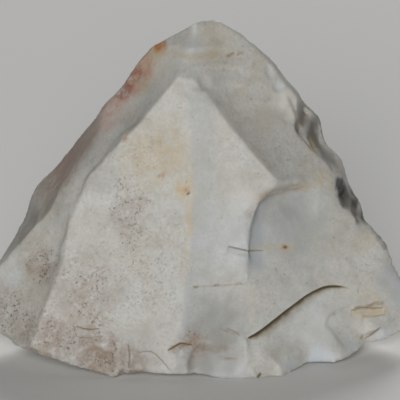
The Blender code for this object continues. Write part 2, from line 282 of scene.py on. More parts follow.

# Stains and bare spots, with painted shade and painted light among them: what it is, the place, how far it reaches
# and how strong it is.
stains = [
    # a greyer tone of the patina, and painted shade in the hollow right of the arc, above the middle of the rim and
    # along the right edge
    ("grey", (-0.8, -3.0, 54.0), 3.2, 0.9),
    ("grey", (16.5, -8.0, 23.5), 9.0, 0.6),
    # painted shade: darkens the hollow under the arc, the faces beside the right edge and spots along the rim that
    # turn from the light
    ("shade", (14.2, -9.0, 26.6), 7.5, 0.17),
    ("shade", (3.2, -15.8, 7.5), 7.0, 0.25),
    ("shade", (21.2, 1.2, 33.0), 3.0, 0.5),
    ("shade", (18.8, 0.9, 37.8), 3.0, 0.25),
    ("shade", (0.8, -17.5, 2.2), 2.8, 0.3),
    ("shade", (17.8, -6.0, 29.8), 2.8, 0.15),
    ("shade", (-15.5, -8.0, 31.5), 3.2, 0.15),
    ("shade", (-11.0, -17.5, 4.0), 4.0, 0.15),
    ("shade", (-20.5, -16.0, 6.0), 3.5, 0.15),
    ("shade", (31.5, -6.0, 6.0), 3.5, 0.15),
    ("grey", (11.0, -3.0, 42.0), 9.0, 0.12),
    ("grey", (3.5, -15.0, 10.0), 6.0, 0.5),
    ("grey", (33.5, -5.0, 12.0), 4.5, 0.9),
    # duller grey flint on the sides, with painted shade: this mask is kept to points that face sideways
    ("dullFlintAndShade", (20.0, 1.5, 36.5), 8.0, 1.0),
    ("dullFlintAndShade", (27.5, 0.5, 22.5), 7.0, 1.0),
    ("dullFlintAndShade", (-20.0, 2.0, 34.0), 9.0, 0.75),
    ("dullFlintAndShade", (-28.0, -1.5, 22.0), 9.0, 0.55),
    ("grey", (3.0, -17.5, 2.0), 5.0, 0.6),
    # the dark grey flint of the thin right flank below the bare chip
    ("shade", (26.6, 0.2, 25.2), 1.8, 0.9),
    ("shade", (28.0, -0.4, 22.6), 1.8, 0.8),
    ("shade", (30.0, -0.4, 19.6), 1.6, 0.6),
    # purple-brown staining; the strong patches on the left flank and the lower left rim also stand in as painted
    # shade
    ("wash", (-16.5, -16.5, 4.0), 5.5, 1.0),
    ("wash", (-28.0, -14.0, 6.0), 5.5, 0.6),
    ("wash", (-23.5, -15.5, 6.5), 4.0, 0.8),
    ("wash", (-11.5, -17.5, 3.0), 4.5, 0.8),
    ("wash", (-22.5, -0.5, 29.5), 8.0, 0.8),
    ("wash", (-18.5, -13.5, 13.0), 7.0, 0.55),
    ("wash", (-26.5, -10.0, 17.0), 4.5, 0.7),
    ("wash", (-11.0, -11.0, 26.0), 4.5, 0.5),
    ("wash", (-0.5, -17.0, 5.5), 3.5, 0.8),
    ("wash", (-32.0, -8.0, 9.0), 5.0, 0.4),
    ("specks", (-11.0, -10.5, 28.5), 5.0, 1.0),
    ("specks", (-11.0, -11.0, 23.0), 4.5, 0.9),
    ("specks", (-19.0, -13.0, 15.5), 6.5, 0.9),
    ("specks", (-18.0, -15.0, 9.0), 6.0, 1.0),
    ("specks", (-26.0, -9.8, 17.0), 4.5, 1.0),
    ("specks", (-24.0, -15.0, 6.0), 8.0, 1.0),
    ("specks", (-16.0, -17.0, 3.0), 6.0, 1.0),
    ("specks", (-31.0, -11.0, 9.0), 6.0, 1.0),
    ("specks", (-0.4, -16.8, 6.6), 3.2, 0.9),
    ("specks", (-8.0, -13.0, 18.0), 11.0, 0.5),
    ("specks", (-9.0, -9.0, 36.0), 6.0, 0.35),
    ("ochre", (-6.5, -9.0, 36.0), 7.0, 0.45),
    ("ochre", (-2.5, -10.4, 31.0), 2.0, 0.9),
    ("ochre", (21.2, -3.6, 30.3), 3.0, 0.35),
    ("ochre", (28.0, -3.5, 18.3), 2.6, 0.25),
    ("ochre", (30.0, -6.5, 9.5), 3.5, 0.2),
    ("ochre", (2.0, -1.0, 52.0), 7.0, 0.12),
    ("ochre", (9.5, -3.0, 43.5), 7.0, 0.15),
    ("ochre", (-9.6, 0.0, 47.4), 4.0, 0.45),
    ("iron", (-6.6, 1.2, 52.1), 1.6, 1.0),
    ("tan", (-17.0, -16.6, 4.5), 4.5, 0.35),
    ("tan", (-24.5, -15.0, 4.0), 3.5, 0.4),
    ("iron", (-1.9, -10.8, 30.8), 0.6, 0.7),
    ("iron", (-5.7, -9.6, 32.9), 0.5, 0.6),
    ("iron", (-2.4, -6.4, 49.0), 0.35, 0.6),
    ("iron", (5.0, -4.5, 45.1), 0.5, 0.5),
    ("iron", (-11.9, -7.6, 38.5), 0.7, 0.8),
    ("iron", (-14.2, -7.9, 36.5), 0.55, 0.7),
    ("iron", (-1.0, -16.8, 6.4), 1.2, 0.12),
    ("iron", (-11.3, 0.9, 46.0), 0.8, 0.7),
    ("pink", (-11.0, 0.6, 45.0), 2.6, 0.8),
    ("blue", (-31.5, -7.5, 13.5), 2.2, 0.2),
    ("blue", (20.0, -11.8, 0.8), 3.6, 0.7),
    ("blue", (14.6, -14.0, 0.8), 2.4, 0.6),
    ("blue", (25.0, -9.5, 1.5), 3.0, 0.45),
    ("blue", (31.0, -6.8, 3.6), 1.8, 0.4),
    ("blue", (7.4, -17.2, 1.2), 2.0, 0.35),
    ("blue", (19.0, -11.0, 8.0), 9.0, 0.2),
    ("blue", (6.0, -12.0, 22.0), 9.0, 0.25),
    ("blue", (11.8, 1.0, 46.9), 1.1, 0.3),
    ("blue", (13.6, 0.8, 44.6), 1.2, 0.35),
    # a whiter patina, and painted light on faces that turn from the lamps: the upper left, beside the arc's wall and
    # the triangle near the rim
    ("chalkAndLight", (-5.3, -3.0, 50.0), 4.5, 0.4),
    ("chalkAndLight", (20.0, -11.5, 6.5), 4.5, 0.6),
    ("chalkAndLight", (14.4, 0.0, 43.0), 2.6, 0.8),
    ("chalkAndLight", (15.6, 0.0, 40.6), 1.8, 0.5),
    ("chalkAndLight", (8.0, -10.5, 29.0), 3.5, 0.4),
    # the sides and back carry the same stains, more thinly
    ("wash", (-20.0, 12.0, 8.0), 9.0, 0.5),
    ("wash", (14.0, 15.0, 6.0), 8.0, 0.45),
    ("specks", (-20.0, 12.0, 8.0), 9.0, 0.8),
    ("specks", (12.0, 15.0, 10.0), 9.0, 0.7),
    ("specks", (-2.0, 14.0, 30.0), 8.0, 0.45),
    ("specks", (28.0, 4.0, 8.0), 7.0, 0.6),
    ("ochre", (2.0, 10.0, 40.0), 8.0, 0.45),
    ("ochre", (-14.0, 12.0, 22.0), 7.0, 0.35),
    ("ochre", (24.0, 8.0, 18.0), 6.0, 0.35),
    ("grey", (6.0, 15.0, 20.0), 10.0, 0.5),
    ("pink", (6.0, 13.0, 27.0), 3.0, 0.25),
    ("ochre", (0.0, 0.0, 0.0), 12.0, 0.4),
    ("specks", (4.0, 6.0, 0.0), 9.0, 0.6),
    ("wash", (-12.0, 0.0, 1.0), 9.0, 0.5),
]

# Stains and painted shade that follow a line seen from the front: the kind, the path, its width, how strong,
# and "right" where the stain lies only on the right of someone walking along the line.
streaks = [
    ("ochre", [(-1.1, 33.0), (-1.5, 28.5), (-1.5, 24.0)], 0.9, 0.5),
    ("ochre", [(-1.5, 24.0), (-1.9, 18.0)], 0.6, 0.3),
    ("ochre", [(9.6, 28.8), (11.4, 30.0), (14.0, 30.2), (18.0, 29.4)], 1.3, 0.45),
    # painted shade along the wall of the arc
    ("wash", [(8.6, 26.5), (9.8, 28.6), (12.0, 29.8), (16.5, 29.7)], 1.3, 0.8),
    ("pink", [(-8.6, 49.0), (-10.6, 45.8), (-13.2, 42.6), (-15.8, 39.6)], 2.4, 0.8),
    ("pink", [(-15.8, 39.6), (-19.5, 34.6), (-23.5, 29.6)], 1.8, 0.35),
    ("rust", [(-9.8, 47.4), (-11.4, 45.2), (-12.8, 43.4)], 1.3, 0.7),
    ("iron", [(-6.8, 51.9), (-5.6, 52.2)], 0.8, 0.7),
    ("tan", [(14.6, 44.2), (15.3, 42.1), (16.2, 39.9), (16.8, 38.4)], 0.6, 0.5),
    ("iron", [(17.0, 37.4), (17.4, 38.2), (18.4, 38.7)], 0.5, 0.1),
    ("ochre", [(18.6, 35.2), (19.8, 33.8)], 0.9, 0.4),
    ("ochre", [(-5.6, 51.2), (-1.0, 51.4), (3.0, 51.2)], 0.5, 0.6),
    # painted shade in the hollow right of the arc's wall
    ("grey", [(11.8, 29.2), (10.4, 26.8), (9.8, 23.5), (9.6, 19.0)], 2.6, 0.7),
    ("ochre", [(9.4, 20.6), (12.0, 20.2), (16.0, 19.8)], 0.8, 0.4),
    ("tan", [(26.4, 8.4), (28.6, 8.4), (30.8, 8.8)], 0.45, 0.7),
    ("ochre", [(26.4, 7.4), (28.6, 7.2), (31.4, 7.4)], 1.0, 0.6),
    ("tan", [(27.4, 3.4), (29.2, 4.0), (30.6, 4.8)], 0.4, 0.6),
    ("tan", [(-1.6, 6.2), (-4.0, 5.4)], 0.9, 0.7),
    ("tan", [(4.6, 8.0), (6.6, 7.2)], 0.5, 0.5),
    ("tan", [(3.6, 3.5), (5.0, 3.0), (6.4, 3.0)], 0.35, 0.6),
    ("tan", [(0.0, 5.4), (2.0, 4.6), (4.4, 4.9)], 0.9, 0.4),
    # greyer and darker on the right of the middle ridge
    ("grey", [(-3.4, 4.0), (-2.8, 8.0), (-1.7, 17.2), (-0.9, 26.7), (-0.8, 36.0), (-1.4, 44.0)], 6.0, 0.42, "right"),
    ("grey", [(-3.4, 4.0), (-2.8, 8.0), (-1.7, 17.2)], 3.2, 0.6, "right"),
    ("ochre", [(-6.4, 51.0), (-8.2, 48.6), (-10.0, 46.0)], 2.4, 0.7),
    ("iron", [(-4.0, 5.8), (-2.9, 6.5), (-2.0, 6.4)], 0.4, 0.3),
    ("iron", [(14.4, 20.1), (14.7, 20.0)], 0.5, 0.6),
    ("soil", [(14.5, 20.1), (14.7, 20.0)], 0.35, 0.8),
    ("soil", [(-1.8, 30.6), (-1.7, 30.5)], 0.35, 0.8),
    ("soil", [(-6.5, 33.0), (-6.3, 32.9)], 0.35, 0.5),
    ("tan", [(-0.6, 15.4), (0.1, 15.3)], 0.35, 0.9),
    ("tan", [(2.8, 15.3), (3.4, 15.3)], 0.4, 0.9),
    ("tan", [(6.6, 15.5), (7.2, 15.6)], 0.35, 0.8),
    ("tan", [(5.0, 50.7), (6.0, 51.0)], 0.35, 0.9),
    ("tan", [(6.8, 50.7), (7.4, 50.9)], 0.35, 0.8),
    # the dark grey flint seen edge-on along the right outline
    ("shade", [(27.4, 22.8), (29.1, 21.6), (30.4, 19.6), (31.6, 17.6)], 0.9, 0.5),
    ("soil", [(-11.2, 1.3), (-9.5, 1.6), (-8.0, 1.5)], 0.35, 0.6),
    ("soil", [(9.9, 0.0), (10.2, 0.6)], 0.4, 0.8),
    ("soil", [(-27.6, 4.6), (-24.8, 3.6)], 0.35, 0.5),
]


def asArrays(mesh):
    places = np.empty(len(mesh.vertices) * 3)
    mesh.vertices.foreach_get("co", places)
    normals = np.empty(len(mesh.vertices) * 3)
    mesh.vertex_normals.foreach_get("vector", normals)
    return places.reshape(-1, 3) / mm, normals.reshape(-1, 3)


def newObject(name, shape):
    mesh = bpy.data.meshes.new(name)
    shape.to_mesh(mesh)
    shape.free()
    item = bpy.data.objects.new(name, mesh)
    bpy.context.scene.collection.objects.link(item)
    return item


def applyModifiers(item):
    bpy.context.view_layer.update()
    finished = item.evaluated_get(bpy.context.evaluated_depsgraph_get())
    mesh = bpy.data.meshes.new_from_object(finished)
    item.modifiers.clear()
    item.data = mesh


# a closed copy of the solid
def plainCore():
    shape = bmesh.new()
    shape.from_mesh(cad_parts["flint_core"].data)
    bmesh.ops.remove_doubles(shape, verts=shape.verts, dist=0.01 * mm)
    return newObject("knapped_flint", shape)


# split the long edges, then move the stone around each place, with a slow waver over all
def pullPlaces(item):
    shape = bmesh.new()
    shape.from_mesh(item.data)
    for _ in range(3):
        long = [edge for edge in shape.edges if edge.calc_length() > 1.5 * mm]
        bmesh.ops.subdivide_edges(shape, edges=long, cuts=1)
        bmesh.ops.triangulate(shape, faces=[face for face in shape.faces if len(face.verts) > 4])
    shape.to_mesh(item.data)
    shape.free()
    places, normals = asArrays(item.data)
    moves = np.stack([cloudAt(places, core["waverSize"], 30 + i, 2) for i in range(3)], axis=1)
    moves *= core["waver"] * smoothStep(places[:, 2:3], 0.0, 2.0)
    for middle, reach, move in pulls.values():
        away = np.linalg.norm(places - np.array(middle), axis=1)
        moves += (1.0 - smoothStep(away, 0.0, reach))[:, None] * np.array(move)
    item.data.vertices.foreach_set("co", ((places + moves) * mm).ravel())
    item.data.update()


# a lens that takes a chip of the given width, height and depth off the surface nearest to place
def chipCutter(name, surface, place, facing, width, height, depth):
    outward = Vector(facing).normalized()
    place = surface.find_nearest(Vector(place) * mm)[0] / mm
    reach = 2.5 * depth
    across = Vector((0, 0, 1)).cross(outward).normalized()
    upward = outward.cross(across)
    turned = Matrix((across, upward, outward)).transposed().to_4x4()
    size = Matrix.Diagonal((0.625 * width * mm, 0.625 * height * mm, reach * mm, 1.0))
    centre = (place + outward * (reach - depth)) * mm
    shape = bmesh.new()
    bmesh.ops.create_icosphere(
        shape, subdivisions=3, radius=1.0, matrix=Matrix.Translation(centre) @ turned @ size)
    cutter = newObject(name, shape)
    cutter["lens"] = [value for row in (Matrix.Translation(centre) @ turned @ size).inverted() for value in row]
    return cutter


# places along the rim or along the other edges, each with the way its upper side faces
def edgePlaces(mesh, atRim, count, rng):
    shape = bmesh.new()
    shape.from_mesh(mesh)
    spots = []
    for edge in shape.edges:
        if len(edge.link_faces) != 2 or edge.calc_face_angle_signed(0.0) < math.radians(24):
            continue
        middle = (edge.verts[0].co + edge.verts[1].co) / 2 / mm
        low = middle.z < 5.0 and min(face.normal.z for face in edge.link_faces) < -0.6
        if low == atRim and (atRim or middle.y > 4.0):
            side = max(edge.link_faces, key=lambda face: face.normal.z)
            between = (edge.link_faces[0].normal + edge.link_faces[1].normal).normalized()
            spots.append((edge.calc_length(), middle.copy(), side.normal.copy() if atRim else between))
    shape.free()
    weights = [spot[0] for spot in spots]
    return [spots[i][1:] for i in rng.choices(range(len(spots)), weights, k=count)]


def flakeOffChips(item):
    rng = random.Random(trimming["seed"])
    group = bpy.data.collections.new("cutters")
    shape = bmesh.new()
    shape.from_mesh(item.data)
    surface = BVHTree.FromBMesh(shape)
    shape.free()
    cutters = [chipCutter(name, surface, *chip) for name, chip in chips.items()]
    for name in ("rim", "edges"):
        row = trimming[name]
        for i, (middle, outward) in enumerate(edgePlaces(item.data, name == "rim", row["count"], rng)):
            cutters.append(chipCutter(
                f"{name}{i}", surface, middle, outward, rng.uniform(*row["width"]),
                rng.uniform(*row["height"]), rng.uniform(*row["depth"])))
    for cutter in cutters:
        group.objects.link(cutter)
    modifier = item.modifiers.new("chips", "BOOLEAN")
    modifier.operation = "DIFFERENCE"
    modifier.solver = "EXACT"
    modifier.operand_type = "COLLECTION"
    modifier.collection = group
    applyModifiers(item)
    lens = np.array(bpy.data.objects[bareChip]["lens"]).reshape(4, 4)
    for cutter in cutters:
        bpy.data.objects.remove(cutter)
    bpy.data.collections.remove(group)
    return lens


# close points along every ridge, and whether each ridge stands out or lies in a hollow
class Ridges:
    def __init__(self, points, standing):
        self.points = points
        self.standing = standing
        self.tree = kdtree.KDTree(len(points))
        for i, point in enumerate(points):
            self.tree.insert(point, i)
        self.tree.balance()

    def find(self, place):
        return self.tree.find(place)


def findRidges(mesh):
    shape = bmesh.new()
    shape.from_mesh(mesh)
    points = []
    standing = []
    for edge in shape.edges:
        if len(edge.link_faces) != 2 or edge.calc_face_angle(0.0) < math.radians(core["ridgeAngle"]):
            continue
        first, second = (vert.co / mm for vert in edge.verts)
        steps = max(int((second - first).length / 0.06), 1)
        for i in range(steps + 1):
            points.append(first.lerp(second, i / steps))
            standing.append(edge.is_convex)
    shape.free()
    return Ridges(points, standing)


# remake the surface as small even faces, then pull the nearest ones onto the ridges
def evenMesh(item, ridges, size):
    source = bmesh.new()
    source.from_mesh(item.data)
    surface = BVHTree.FromBMesh(source)
    modifier = item.modifiers.new("even", "REMESH")
    modifier.mode = "VOXEL"
    modifier.voxel_size = size * mm
    applyModifiers(item)
    shape = bmesh.new()
    shape.from_mesh(item.data)
    points = kdtree.KDTree(len(shape.verts))
    for vert in shape.verts:
        vert.co = surface.find_nearest(vert.co)[0]
        points.insert(vert.co / mm, vert.index)
    points.balance()
    nearest = {}
    for place in ridges.points:
        _, index, far = points.find(place)
        if index not in nearest or far < nearest[index][0]:
            nearest[index] = (far, place)
    shape.verts.ensure_lookup_table()
    onRidge = {}
    for index in sorted(nearest, key=lambda i: (nearest[i][0], i)):
        far, place = nearest[index]
        vert = shape.verts[index]
        beside = {other.index for face in vert.link_faces for other in face.verts}
        if far < 1.2 * size and all(
                (onRidge[i] - place).length > 0.4 * size for i in beside if i in onRidge):
            onRidge[index] = place
    for index, place in onRidge.items():
        shape.verts[index].co = place * mm
    bmesh.ops.connect_verts(shape, verts=[shape.verts[i] for i in onRidge])
    shape.to_mesh(item.data)
    shape.free()
    source.free()


# blunt the sharpest edges a little, and any point that was pulled into a spike
def easeSpikes(item):
    shape = bmesh.new()
    shape.from_mesh(item.data)
    for _ in range(core["spikeRounds"]):
        spikes = set()
        for edge in shape.edges:
            if edge.calc_face_angle(0.0) > math.radians(core["spikeAngle"]):
                spikes.update(vert for end in edge.verts for face in end.link_faces for vert in face.verts)
        bmesh.ops.smooth_vert(
            shape, verts=sorted(spikes, key=lambda vert: vert.index), factor=0.5,
            use_axis_x=True, use_axis_y=True, use_axis_z=True)
    shape.to_mesh(item.data)
    shape.free()


def smoothStep(value, low, high):
    share = np.clip((value - low) / (high - low), 0.0, 1.0)
    return share * share * (3.0 - 2.0 * share)


def smoothBy(item, weights, rounds, factor=0.5):
    group = item.vertex_groups.new(name="smooth")
    for i in np.nonzero(weights > 0.01)[0]:
        group.add([int(i)], float(weights[i]), "REPLACE")
    modifier = item.modifiers.new("smooth", "SMOOTH")
    modifier.factor = factor
    modifier.iterations = rounds
    modifier.vertex_group = group.name
    applyModifiers(item)
    item.vertex_groups.clear()


# how far each front point lies in the worn places, 0 to 1
def wornShare(places, normals, middle, reach):
    away = np.hypot(*(places[:, [0, 2]] - np.array(middle)).T)
    return np.where(normals[:, 1] < 0.0, 1.0 - smoothStep(away, 0.4 * reach, reach), 0.0)


def softenFaces(item, ridges):
    places, normals = asArrays(item.data)
    far = np.array([ridges.find(Vector(place))[2] for place in places])
    smoothBy(item, smoothStep(far, 0.0, core["ridgeWidth"]), core["faceRounds"])


def wearRidges(item, share):
    places, normals = asArrays(item.data)
    for middle, reach, rounds in worn.values():
        smoothBy(item, wornShare(places, normals, middle, reach), round(rounds * share))


def wearTip(item):
    places, normals = asArrays(item.data)
    away = np.linalg.norm(places - np.array(core["tip"]), axis=1)
    smoothBy(item, 1.0 - smoothStep(away, 0.3 * core["tipReach"], core["tipReach"]), core["tipRounds"])


# a path with its corners cut off, so that it bends evenly
def eased(path):
    points = [np.array(point, float) for point in path]
    for _ in range(3):
        between = []
        for first, second in zip(points, points[1:]):
            between += [0.75 * first + 0.25 * second, 0.25 * first + 0.75 * second]
        points = [points[0], *between, points[-1]]
    return points


# for each point: how far it is from the line, how high above it, and its share of the way
def besideLine(flat, path):
    points = eased(path)
    lengths = [np.linalg.norm(second - first) for first, second in zip(points, points[1:])]
    away = np.full(len(flat), 1e6)
    above = np.zeros(len(flat))
    share = np.zeros(len(flat))
    start = 0.0
    for first, second, length in zip(points, points[1:], lengths):
        run = (second - first) / length
        along = np.clip((flat - first) @ run, 0.0, length)
        gap = flat - first - along[:, None] * run
        far = np.hypot(*gap.T)
        closer = far < away
        away[closer] = far[closer]
        above[closer] = (far * np.sign(run[0] * gap[:, 1] - run[1] * gap[:, 0]))[closer]
        share[closer] = ((start + along) / sum(lengths))[closer]
        start += length
    return away, above, share


# how far each point is from the middle of a chip's lens: 1 on its surface
def lensShare(places, lens):
    return np.linalg.norm((np.hstack([places * mm, np.ones((len(places), 1))]) @ lens.T)[:, :3], axis=1)


# halve the faces beside every crack and step, so that their edges stay crisp
def refineLines(item, lens):
    for turn in range(core["lineRounds"]):
        places, normals = asArrays(item.data)
        flat = places[:, [0, 2]]
        front = normals[:, 1] < -0.1
        close = np.abs(lensShare(places, lens) - 1.1) < 0.12
        for line in lines.values():
            close |= front & (besideLine(flat, line["path"])[0] < core["lineReach"] / (turn + 1))
        back = normals[:, 1] > 0.1
        if turn == 0:
            for line in backLines.values():
                close |= back & (besideLine(flat, line["path"])[0] < 0.6)
        shape = bmesh.new()
        shape.from_mesh(item.data)
        shape.verts.ensure_lookup_table()
        edges = set()
        for face in shape.faces:
            if any(close[vert.index] for vert in face.verts):
                edges.update(face.edges)
        edges = sorted(edges, key=lambda edge: edge.index)
        bmesh.ops.subdivide_edges(shape, edges=edges, cuts=1, use_grid_fill=True)
        shape.to_mesh(item.data)
        shape.free()


def cloudAt(places, size, seed, octaves=3):
    shift = Vector((seed * 13.1, seed * 7.7, seed * 3.3))
    return np.array([noise.fractal(Vector(place) / size + shift, 1.0, 2.0, octaves) for place in places])


# how far the stone drops beside a path: steep at first, then slowly back up
def dropBeside(flat, seen, line):
    away, above, share = besideLine(flat, line["path"])
    most = line.get("fullest", 0.5)
    taper = (share / most) ** most * ((1.0 - share) / (1.0 - most)) ** (1.0 - most)
    taper = taper ** line.get("pointed", 1.2)
    fall = (1.0 - np.exp(-away / line["wall"])) * np.exp(-(away / line["reach"]) ** 1.5)
    return np.where(above < 0, line["depth"] * fall * taper * seen, 0.0), above, share, taper


# the way each point faces, evened out with its neighbours so that deep cuts don't fold
def evenNormals(mesh, normals):
    pairs = np.empty(len(mesh.edges) * 2, int)
    mesh.edges.foreach_get("vertices", pairs)
    first, second = pairs.reshape(-1, 2).T
    for _ in range(core["evenRounds"]):
        total = normals.copy()
        np.add.at(total, first, normals[second])
        np.add.at(total, second, normals[first])
        normals = total / np.linalg.norm(total, axis=1)[:, None]
    return normals


def carve(item, ridges):
    places, normals = asArrays(item.data)
    flat = places[:, [0, 2]]
    evened = evenNormals(item.data, normals)
    front = smoothStep(-evened[:, 1], 0.0, 0.3)
    back = smoothStep(evened[:, 1], 0.0, 0.3)
    far = np.array([ridges.find(Vector(place))[2] for place in places])
    inside = smoothStep(far, 0.1, 2.5)
    rise = core["swell"] * cloudAt(places, core["swellSize"], 1) * inside
    rise += core["tooth"] * cloudAt(places, core["toothSize"], 2)
    bent = 0.8 * cloudAt(places, 11.0, 3, 1)
    for struck, facing, apart, height, start, end in ripples.values():
        out = np.linalg.norm(places - np.array(struck), axis=1) + bent
        show = smoothStep(out, start, start + 4) * (1 - smoothStep(out, end - 4, end))
        show *= smoothStep(normals @ np.array(facing), 0.4, 0.7) * inside
        rise += height * np.sin(out * 2 * math.pi / apart) * show
    astray = np.stack([cloudAt(places, 3.0, 6 + i, 2) for i in range(2)], axis=1)
    for wave in waves.values():
        rise -= dropBeside(flat + 0.35 * astray, front, wave)[0]
    for middle, halfWidth, halfHeight, lean, depth in hollows.values():
        turn = math.radians(lean)
        gap = flat + 0.5 * astray - np.array(middle)
        across = (gap[:, 0] * math.cos(turn) + gap[:, 1] * math.sin(turn)) / halfWidth
        upward = (gap[:, 1] * math.cos(turn) - gap[:, 0] * math.sin(turn)) / halfHeight
        rise -= front * depth * np.exp(-(across ** 2 + upward ** 2))
    soil = np.zeros(len(places))
    ragged = cloudAt(places, 0.9, 4, 2)
    for line, seen in [(line, front) for line in lines.values()] + [(line, back) for line in backLines.values()]:
        fall, above, share, taper = dropBeside(flat + 0.05 * astray, seen, line)
        rise -= fall
        width = line["soil"] * (1.0 + 0.2 * ragged) * taper
        band = np.where(above < 0, 1 - smoothStep(-above, 0.0, width + 0.1), 1 - smoothStep(above, 0.0, 0.1))
        near = (seen > 0.5) & (share > 0.001) & (share < 0.999) & (line["soil"] > 0)
        soil = np.maximum(soil, np.where(near, line["strength"] * band * smoothStep(taper, 0.0, 0.35), 0.0))
    places = places + evened * rise[:, None]
    low, high = (np.array(corner) / mm for corner in cadBox)
    places = np.clip(places, low, high)
    item.data.vertices.foreach_set("co", (places * mm).ravel())
    item.data.update()
    return soil


def addMask(item, name, values):
    mask = item.data.attributes.new(name, "FLOAT", "POINT")
    mask.data.foreach_set("value", values.astype(np.float32))


# masks of the stains, the bare stone, painted shade and painted light, and of the lighter ridges
def stainShadeAndLightMasks(item, ridges, soil, lens):
    places, normals = asArrays(item.data)
    wander = np.stack([cloudAt(places, 2.4, 20 + i, 3) for i in range(3)], axis=1)
    kinds = {entry[0]: np.zeros(len(places)) for entry in stains + streaks}
    kinds["soil"] = soil.copy()
    for kind, middle, reach, strength in stains:
        shifted = places + wander * min(0.35 * reach, 1.6)
        away = np.linalg.norm(shifted - np.array(middle), axis=1)
        kinds[kind] = np.maximum(kinds[kind], strength * (1 - smoothStep(away, 0.25 * reach, 1.15 * reach)))
    flat = places[:, [0, 2]] + wander[:, :2] * 0.35
    front = (normals[:, 1] < 0.1) & (normals[:, 2] > -0.5)
    # only points that face sideways keep the dull mask: painted shade on the flanks, over their duller flint
    kinds["dullFlintAndShade"] *= smoothStep(np.abs(normals[:, 0]), 0.6, 0.85)
    for kind, path, width, strength, *side in streaks:
        away, above, _ = besideLine(flat, path)
        share = np.where(front, strength * (1 - smoothStep(away, 0.2 * width, width)), 0.0)
        if side:
            share *= 1.0 - smoothStep(above, -0.2, 0.3)
        kinds[kind] = np.maximum(kinds[kind], share)
    kinds["fresh"] = 1.0 - smoothStep(lensShare(places, lens) + 0.15 * wander[:, 0], 0.96, 1.14)
    away = np.linalg.norm(places + wander - np.array(bareMiddle), axis=1)
    kinds["fresh"] *= 1.0 - 0.7 * smoothStep(away, 2.2, 5.6)
    for kind, values in kinds.items():
        addMask(item, kind, values)
    # darkest where the soil is thickest, along the edge of each crack and step: earth, with painted shade of the gap
    addMask(item, "darkSoilAndShade", smoothStep(kinds["soil"], 0.45, 0.95))
    found = [ridges.find(Vector(place)) for place in places]
    near = np.array([1 - smoothStep(hit[2], 0.1, 0.7) for hit in found])
    out = np.array([1.0 if ridges.standing[hit[1]] else 0.0 for hit in found])
    near *= np.clip(0.5 + 1.2 * cloudAt(places, 2.0, 9, 2), 0.0, 1.0)
    addMask(item, "edge", near * out)


# sRGB hex to the linear colour that the shader uses
def linear(code):
    parts = [int(code[i:i + 2], 16) / 255 for i in (1, 3, 5)]
    return tuple(c / 12.92 if c <= 0.04045 else ((c + 0.055) / 1.055) ** 2.4 for c in parts) + (1.0,)


def addNode(tree, kind, inputs=None, **settings):
    node = tree.nodes.new(kind)
    for name, value in settings.items():
        setattr(node, name, value)
    for socket, value in (inputs or {}).items():
        if isinstance(value, bpy.types.NodeSocket):
            tree.links.new(value, node.inputs[socket])
        else:
            node.inputs[socket].default_value = value
    return node


